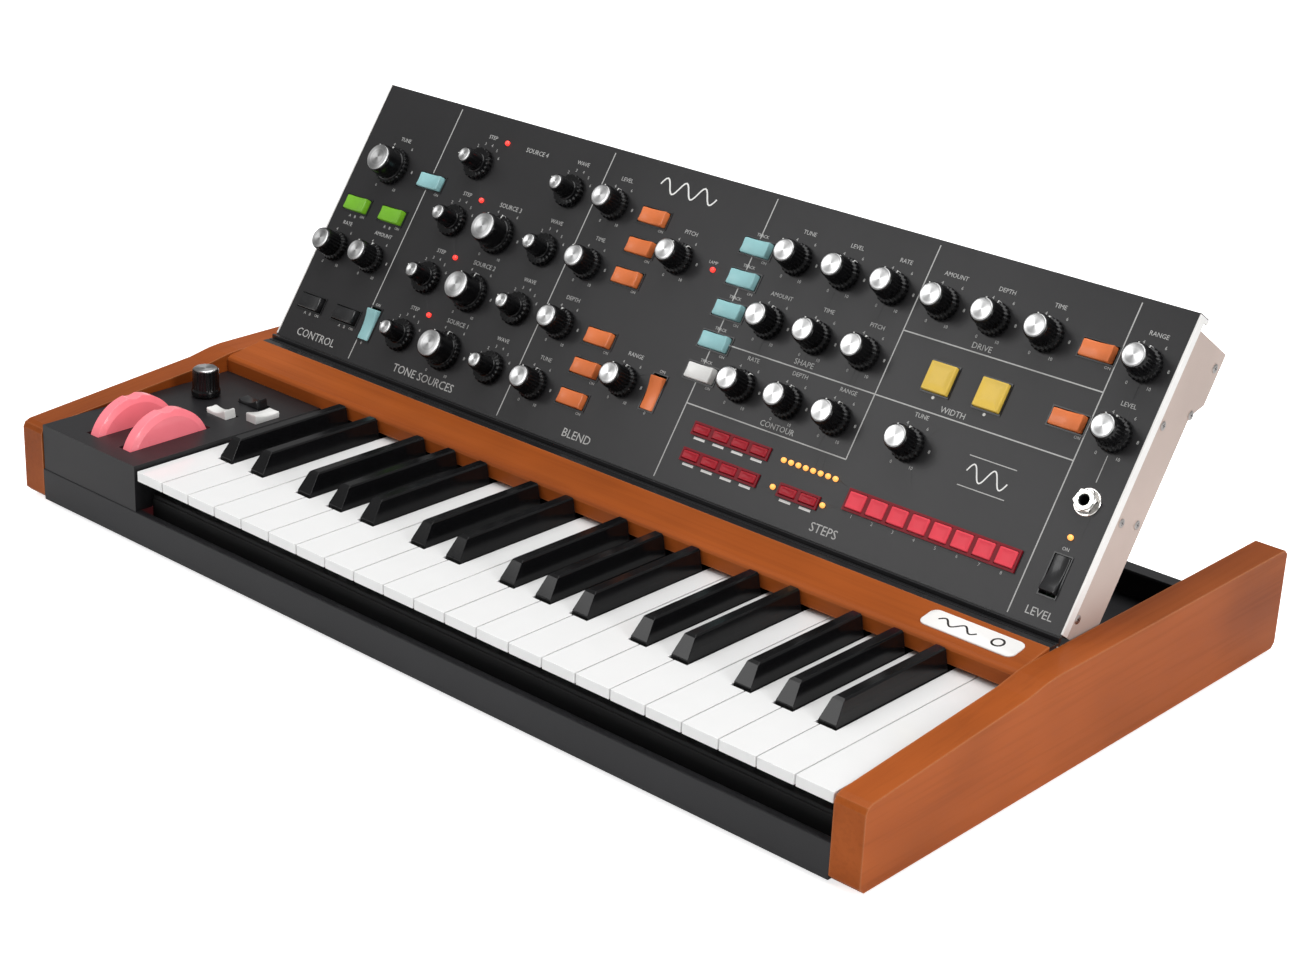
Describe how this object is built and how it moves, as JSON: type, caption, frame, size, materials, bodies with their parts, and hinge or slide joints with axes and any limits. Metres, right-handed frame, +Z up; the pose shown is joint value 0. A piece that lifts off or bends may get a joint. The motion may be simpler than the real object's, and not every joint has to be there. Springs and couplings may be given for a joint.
{
  "type": "keyboard synthesizer",
  "caption": "Keyboard synthesizer with wooden cheeks, hinged piano keys, left-hand control wheels and a tilt-up panel of knobs, rockers and buttons, held by a wire prop.",
  "frame": {"origin": "on the ground under the middle of the case, halfway between the cheeks' outer faces and halfway from front to back", "axes": "+X to the player's right along the keys, +Y away from the player towards the back, +Z up"},
  "size_m": [0.646, 0.376, 0.2158],
  "materials": {
    "dark_steel": "satin powder coat",
    "wood_body": "satin varnish",
    "deck_plastic": "fine satin",
    "chassis_steel": "satin",
    "rod_steel": "drawn",
    "circuit_board": "solder mask",
    "rubber_black": "matt",
    "wheel_plastic": "satin",
    "knob_black": "fine satin",
    "knob_cap": "spun",
    "rocker_white": "satin",
    "rocker_black": "satin",
    "rocker_orange": "satin",
    "rocker_blue": "satin",
    "rocker_green": "satin, lit from behind",
    "button_red": "satin",
    "button_pink": "satin",
    "button_yellow": "satin",
    "led_red": "emissive lens",
    "led_amber": "emissive lens",
    "panel_paint": "satin powder coat",
    "print_white": "screen print",
    "case_metal": "satin powder coat",
    "end_metal": "bare, satin",
    "socket_metal": "plated",
    "key_white": "gloss",
    "key_black": "gloss",
    "felt_red": "felt"
  },
  "bodies": {
    "base": {"base_tray": "dark_steel", "left_cheek": "wood_body", "right_cheek": "wood_body", "wood_rail": "wood_body", "control_deck": "deck_plastic", "key_frame": "chassis_steel", "pivot_rods": "rod_steel", "contact_board": "circuit_board", "rubber_feet": "rubber_black"},
    "panel": {"front_plate": "panel_paint", "panel_case": "case_metal", "end_plates": "end_metal", "panel_board": "circuit_board", "panel_controls": "knob_black"},
    "prop": {"prop_stand": "dark_steel"},
    "pitch_wheel": {"pitch_wheel": "wheel_plastic"},
    "mod_wheel": {"mod_wheel": "wheel_plastic"},
    "lfo_knob": {"lfo_knob": "knob_black"},
    "deck_rockers": {"deck_rockers": "rocker_white"},
    "volume_knob": {"volume_knob": "knob_black"},
    "mixer_rockers": {"mixer_rockers": "rocker_orange"},
    "filter_rockers": {"filter_rockers": "rocker_blue"},
    "push_buttons": {"push_buttons": "button_red"},
    "key_c3": {"key_c3": "key_white"},
    "key_d3": {"key_d3": "key_white"},
    "key_e3": {"key_e3": "key_white"},
    "key_f3": {"key_f3": "key_white"},
    "key_g3": {"key_g3": "key_white"},
    "key_a3": {"key_a3": "key_white"},
    "key_b3": {"key_b3": "key_white"},
    "key_c4": {"key_c4": "key_white"},
    "key_d4": {"key_d4": "key_white"},
    "key_e4": {"key_e4": "key_white"},
    "key_f4": {"key_f4": "key_white"},
    "key_g4": {"key_g4": "key_white"},
    "key_a4": {"key_a4": "key_white"},
    "key_b4": {"key_b4": "key_white"},
    "key_c5": {"key_c5": "key_white"},
    "key_d5": {"key_d5": "key_white"},
    "key_e5": {"key_e5": "key_white"},
    "key_f5": {"key_f5": "key_white"},
    "key_g5": {"key_g5": "key_white"},
    "key_a5": {"key_a5": "key_white"},
    "key_b5": {"key_b5": "key_white"},
    "key_c6": {"key_c6": "key_white"},
    "key_cs3": {"key_cs3": "key_black"},
    "key_ds3": {"key_ds3": "key_black"},
    "key_fs3": {"key_fs3": "key_black"},
    "key_gs3": {"key_gs3": "key_black"},
    "key_as3": {"key_as3": "key_black"},
    "key_cs4": {"key_cs4": "key_black"},
    "key_ds4": {"key_ds4": "key_black"},
    "key_fs4": {"key_fs4": "key_black"},
    "key_gs4": {"key_gs4": "key_black"},
    "key_as4": {"key_as4": "key_black"},
    "key_cs5": {"key_cs5": "key_black"},
    "key_ds5": {"key_ds5": "key_black"},
    "key_fs5": {"key_fs5": "key_black"},
    "key_gs5": {"key_gs5": "key_black"},
    "key_as5": {"key_as5": "key_black"}
  },
  "joints": [
    {"name": "panel_tilt", "type": "hinge", "parent": "base", "child": "panel", "pos_m": [0, -0.00479, 0.05895], "axis": [1, 0, 0], "range_deg": [-56, 0]},
    {"name": "prop_swing", "type": "hinge", "parent": "base", "child": "prop", "pos_m": [0, 0.027, 0.012], "axis": [1, 0, 0], "range_deg": [-65.1, 0]},
    {"name": "pitch_wheel_turn", "type": "hinge", "parent": "base", "child": "pitch_wheel", "pos_m": [-0.2705, -0.146, 0.039], "axis": [1, 0, 0], "range_deg": [-20, 20], "stiffness_Nm_per_rad": 0.3},
    {"name": "mod_wheel_turn", "type": "hinge", "parent": "base", "child": "mod_wheel", "pos_m": [-0.2392, -0.146, 0.039], "axis": [1, 0, 0], "range_deg": [-20, 20]},
    {"name": "lfo_knob_turn", "type": "hinge", "parent": "base", "child": "lfo_knob", "pos_m": [-0.2785, -0.0837, 0.052], "axis": [0, 0, 1], "range_deg": [-150, 150]},
    {"name": "volume_turn", "type": "hinge", "parent": "panel", "child": "volume_knob", "pos_m": [0.286, 0.07531, 0.18754], "axis": [0, -0.829, 0.5592], "range_deg": [-150, 150]},
    {"name": "mixer_rock", "type": "hinge", "parent": "panel", "child": "mixer_rockers", "pos_m": [-0.053, 0.04557, 0.13631], "axis": [0, 0.5592, 0.829], "range_deg": [0, 16]},
    {"name": "filter_rock", "type": "hinge", "parent": "panel", "child": "filter_rockers", "pos_m": [0.0265, 0.05659, 0.15264], "axis": [0, 0.5592, 0.829], "range_deg": [0, 16]},
    {"name": "deck_rock", "type": "hinge", "parent": "base", "child": "deck_rockers", "pos_m": [-0.2465, -0.0845, 0.047], "axis": [0, 1, 0], "range_deg": [0, 18]},
    {"name": "buttons_press", "type": "slide", "parent": "panel", "child": "push_buttons", "axis": [0, 0.829, -0.5592], "range_m": [0, 0.0015], "stiffness_N_per_m": 1500, "springref_m": -0.001},
    {"name": "key_c3_press", "type": "hinge", "parent": "base", "child": "key_c3", "pos_m": [0, -0.016, 0.033], "axis": [1, 0, 0], "range_deg": [0, 3.3], "stiffness_Nm_per_rad": 1, "springref_deg": -5.73},
    {"name": "key_cs3_press", "type": "hinge", "parent": "base", "child": "key_cs3", "pos_m": [0, -0.016, 0.033], "axis": [1, 0, 0], "range_deg": [0, 3.3], "stiffness_Nm_per_rad": 1, "springref_deg": -5.73},
    {"name": "key_d3_press", "type": "hinge", "parent": "base", "child": "key_d3", "pos_m": [0, -0.016, 0.033], "axis": [1, 0, 0], "range_deg": [0, 3.3], "stiffness_Nm_per_rad": 1, "springref_deg": -5.73},
    {"name": "key_ds3_press", "type": "hinge", "parent": "base", "child": "key_ds3", "pos_m": [0, -0.016, 0.033], "axis": [1, 0, 0], "range_deg": [0, 3.3], "stiffness_Nm_per_rad": 1, "springref_deg": -5.73},
    {"name": "key_e3_press", "type": "hinge", "parent": "base", "child": "key_e3", "pos_m": [0, -0.016, 0.033], "axis": [1, 0, 0], "range_deg": [0, 3.3], "stiffness_Nm_per_rad": 1, "springref_deg": -5.73},
    {"name": "key_f3_press", "type": "hinge", "parent": "base", "child": "key_f3", "pos_m": [0, -0.016, 0.033], "axis": [1, 0, 0], "range_deg": [0, 3.3], "stiffness_Nm_per_rad": 1, "springref_deg": -5.73},
    {"name": "key_fs3_press", "type": "hinge", "parent": "base", "child": "key_fs3", "pos_m": [0, -0.016, 0.033], "axis": [1, 0, 0], "range_deg": [0, 3.3], "stiffness_Nm_per_rad": 1, "springref_deg": -5.73},
    {"name": "key_g3_press", "type": "hinge", "parent": "base", "child": "key_g3", "pos_m": [0, -0.016, 0.033], "axis": [1, 0, 0], "range_deg": [0, 3.3], "stiffness_Nm_per_rad": 1, "springref_deg": -5.73},
    {"name": "key_gs3_press", "type": "hinge", "parent": "base", "child": "key_gs3", "pos_m": [0, -0.016, 0.033], "axis": [1, 0, 0], "range_deg": [0, 3.3], "stiffness_Nm_per_rad": 1, "springref_deg": -5.73},
    {"name": "key_a3_press", "type": "hinge", "parent": "base", "child": "key_a3", "pos_m": [0, -0.016, 0.033], "axis": [1, 0, 0], "range_deg": [0, 3.3], "stiffness_Nm_per_rad": 1, "springref_deg": -5.73},
    {"name": "key_as3_press", "type": "hinge", "parent": "base", "child": "key_as3", "pos_m": [0, -0.016, 0.033], "axis": [1, 0, 0], "range_deg": [0, 3.3], "stiffness_Nm_per_rad": 1, "springref_deg": -5.73},
    {"name": "key_b3_press", "type": "hinge", "parent": "base", "child": "key_b3", "pos_m": [0, -0.016, 0.033], "axis": [1, 0, 0], "range_deg": [0, 3.3], "stiffness_Nm_per_rad": 1, "springref_deg": -5.73},
    {"name": "key_c4_press", "type": "hinge", "parent": "base", "child": "key_c4", "pos_m": [0, -0.016, 0.033], "axis": [1, 0, 0], "range_deg": [0, 3.3], "stiffness_Nm_per_rad": 1, "springref_deg": -5.73},
    {"name": "key_cs4_press", "type": "hinge", "parent": "base", "child": "key_cs4", "pos_m": [0, -0.016, 0.033], "axis": [1, 0, 0], "range_deg": [0, 3.3], "stiffness_Nm_per_rad": 1, "springref_deg": -5.73},
    {"name": "key_d4_press", "type": "hinge", "parent": "base", "child": "key_d4", "pos_m": [0, -0.016, 0.033], "axis": [1, 0, 0], "range_deg": [0, 3.3], "stiffness_Nm_per_rad": 1, "springref_deg": -5.73},
    {"name": "key_ds4_press", "type": "hinge", "parent": "base", "child": "key_ds4", "pos_m": [0, -0.016, 0.033], "axis": [1, 0, 0], "range_deg": [0, 3.3], "stiffness_Nm_per_rad": 1, "springref_deg": -5.73},
    {"name": "key_e4_press", "type": "hinge", "parent": "base", "child": "key_e4", "pos_m": [0, -0.016, 0.033], "axis": [1, 0, 0], "range_deg": [0, 3.3], "stiffness_Nm_per_rad": 1, "springref_deg": -5.73},
    {"name": "key_f4_press", "type": "hinge", "parent": "base", "child": "key_f4", "pos_m": [0, -0.016, 0.033], "axis": [1, 0, 0], "range_deg": [0, 3.3], "stiffness_Nm_per_rad": 1, "springref_deg": -5.73},
    {"name": "key_fs4_press", "type": "hinge", "parent": "base", "child": "key_fs4", "pos_m": [0, -0.016, 0.033], "axis": [1, 0, 0], "range_deg": [0, 3.3], "stiffness_Nm_per_rad": 1, "springref_deg": -5.73},
    {"name": "key_g4_press", "type": "hinge", "parent": "base", "child": "key_g4", "pos_m": [0, -0.016, 0.033], "axis": [1, 0, 0], "range_deg": [0, 3.3], "stiffness_Nm_per_rad": 1, "springref_deg": -5.73},
    {"name": "key_gs4_press", "type": "hinge", "parent": "base", "child": "key_gs4", "pos_m": [0, -0.016, 0.033], "axis": [1, 0, 0], "range_deg": [0, 3.3], "stiffness_Nm_per_rad": 1, "springref_deg": -5.73},
    {"name": "key_a4_press", "type": "hinge", "parent": "base", "child": "key_a4", "pos_m": [0, -0.016, 0.033], "axis": [1, 0, 0], "range_deg": [0, 3.3], "stiffness_Nm_per_rad": 1, "springref_deg": -5.73},
    {"name": "key_as4_press", "type": "hinge", "parent": "base", "child": "key_as4", "pos_m": [0, -0.016, 0.033], "axis": [1, 0, 0], "range_deg": [0, 3.3], "stiffness_Nm_per_rad": 1, "springref_deg": -5.73},
    {"name": "key_b4_press", "type": "hinge", "parent": "base", "child": "key_b4", "pos_m": [0, -0.016, 0.033], "axis": [1, 0, 0], "range_deg": [0, 3.3], "stiffness_Nm_per_rad": 1, "springref_deg": -5.73},
    {"name": "key_c5_press", "type": "hinge", "parent": "base", "child": "key_c5", "pos_m": [0, -0.016, 0.033], "axis": [1, 0, 0], "range_deg": [0, 3.3], "stiffness_Nm_per_rad": 1, "springref_deg": -5.73},
    {"name": "key_cs5_press", "type": "hinge", "parent": "base", "child": "key_cs5", "pos_m": [0, -0.016, 0.033], "axis": [1, 0, 0], "range_deg": [0, 3.3], "stiffness_Nm_per_rad": 1, "springref_deg": -5.73},
    {"name": "key_d5_press", "type": "hinge", "parent": "base", "child": "key_d5", "pos_m": [0, -0.016, 0.033], "axis": [1, 0, 0], "range_deg": [0, 3.3], "stiffness_Nm_per_rad": 1, "springref_deg": -5.73},
    {"name": "key_ds5_press", "type": "hinge", "parent": "base", "child": "key_ds5", "pos_m": [0, -0.016, 0.033], "axis": [1, 0, 0], "range_deg": [0, 3.3], "stiffness_Nm_per_rad": 1, "springref_deg": -5.73},
    {"name": "key_e5_press", "type": "hinge", "parent": "base", "child": "key_e5", "pos_m": [0, -0.016, 0.033], "axis": [1, 0, 0], "range_deg": [0, 3.3], "stiffness_Nm_per_rad": 1, "springref_deg": -5.73},
    {"name": "key_f5_press", "type": "hinge", "parent": "base", "child": "key_f5", "pos_m": [0, -0.016, 0.033], "axis": [1, 0, 0], "range_deg": [0, 3.3], "stiffness_Nm_per_rad": 1, "springref_deg": -5.73},
    {"name": "key_fs5_press", "type": "hinge", "parent": "base", "child": "key_fs5", "pos_m": [0, -0.016, 0.033], "axis": [1, 0, 0], "range_deg": [0, 3.3], "stiffness_Nm_per_rad": 1, "springref_deg": -5.73},
    {"name": "key_g5_press", "type": "hinge", "parent": "base", "child": "key_g5", "pos_m": [0, -0.016, 0.033], "axis": [1, 0, 0], "range_deg": [0, 3.3], "stiffness_Nm_per_rad": 1, "springref_deg": -5.73},
    {"name": "key_gs5_press", "type": "hinge", "parent": "base", "child": "key_gs5", "pos_m": [0, -0.016, 0.033], "axis": [1, 0, 0], "range_deg": [0, 3.3], "stiffness_Nm_per_rad": 1, "springref_deg": -5.73},
    {"name": "key_a5_press", "type": "hinge", "parent": "base", "child": "key_a5", "pos_m": [0, -0.016, 0.033], "axis": [1, 0, 0], "range_deg": [0, 3.3], "stiffness_Nm_per_rad": 1, "springref_deg": -5.73},
    {"name": "key_as5_press", "type": "hinge", "parent": "base", "child": "key_as5", "pos_m": [0, -0.016, 0.033], "axis": [1, 0, 0], "range_deg": [0, 3.3], "stiffness_Nm_per_rad": 1, "springref_deg": -5.73},
    {"name": "key_b5_press", "type": "hinge", "parent": "base", "child": "key_b5", "pos_m": [0, -0.016, 0.033], "axis": [1, 0, 0], "range_deg": [0, 3.3], "stiffness_Nm_per_rad": 1, "springref_deg": -5.73},
    {"name": "key_c6_press", "type": "hinge", "parent": "base", "child": "key_c6", "pos_m": [0, -0.016, 0.033], "axis": [1, 0, 0], "range_deg": [0, 3.3], "stiffness_Nm_per_rad": 1, "springref_deg": -5.73}
  ],
  "couplings": [
    {"joint": "prop_swing", "follows": "panel_tilt", "ratio": 1.1607}
  ]
}
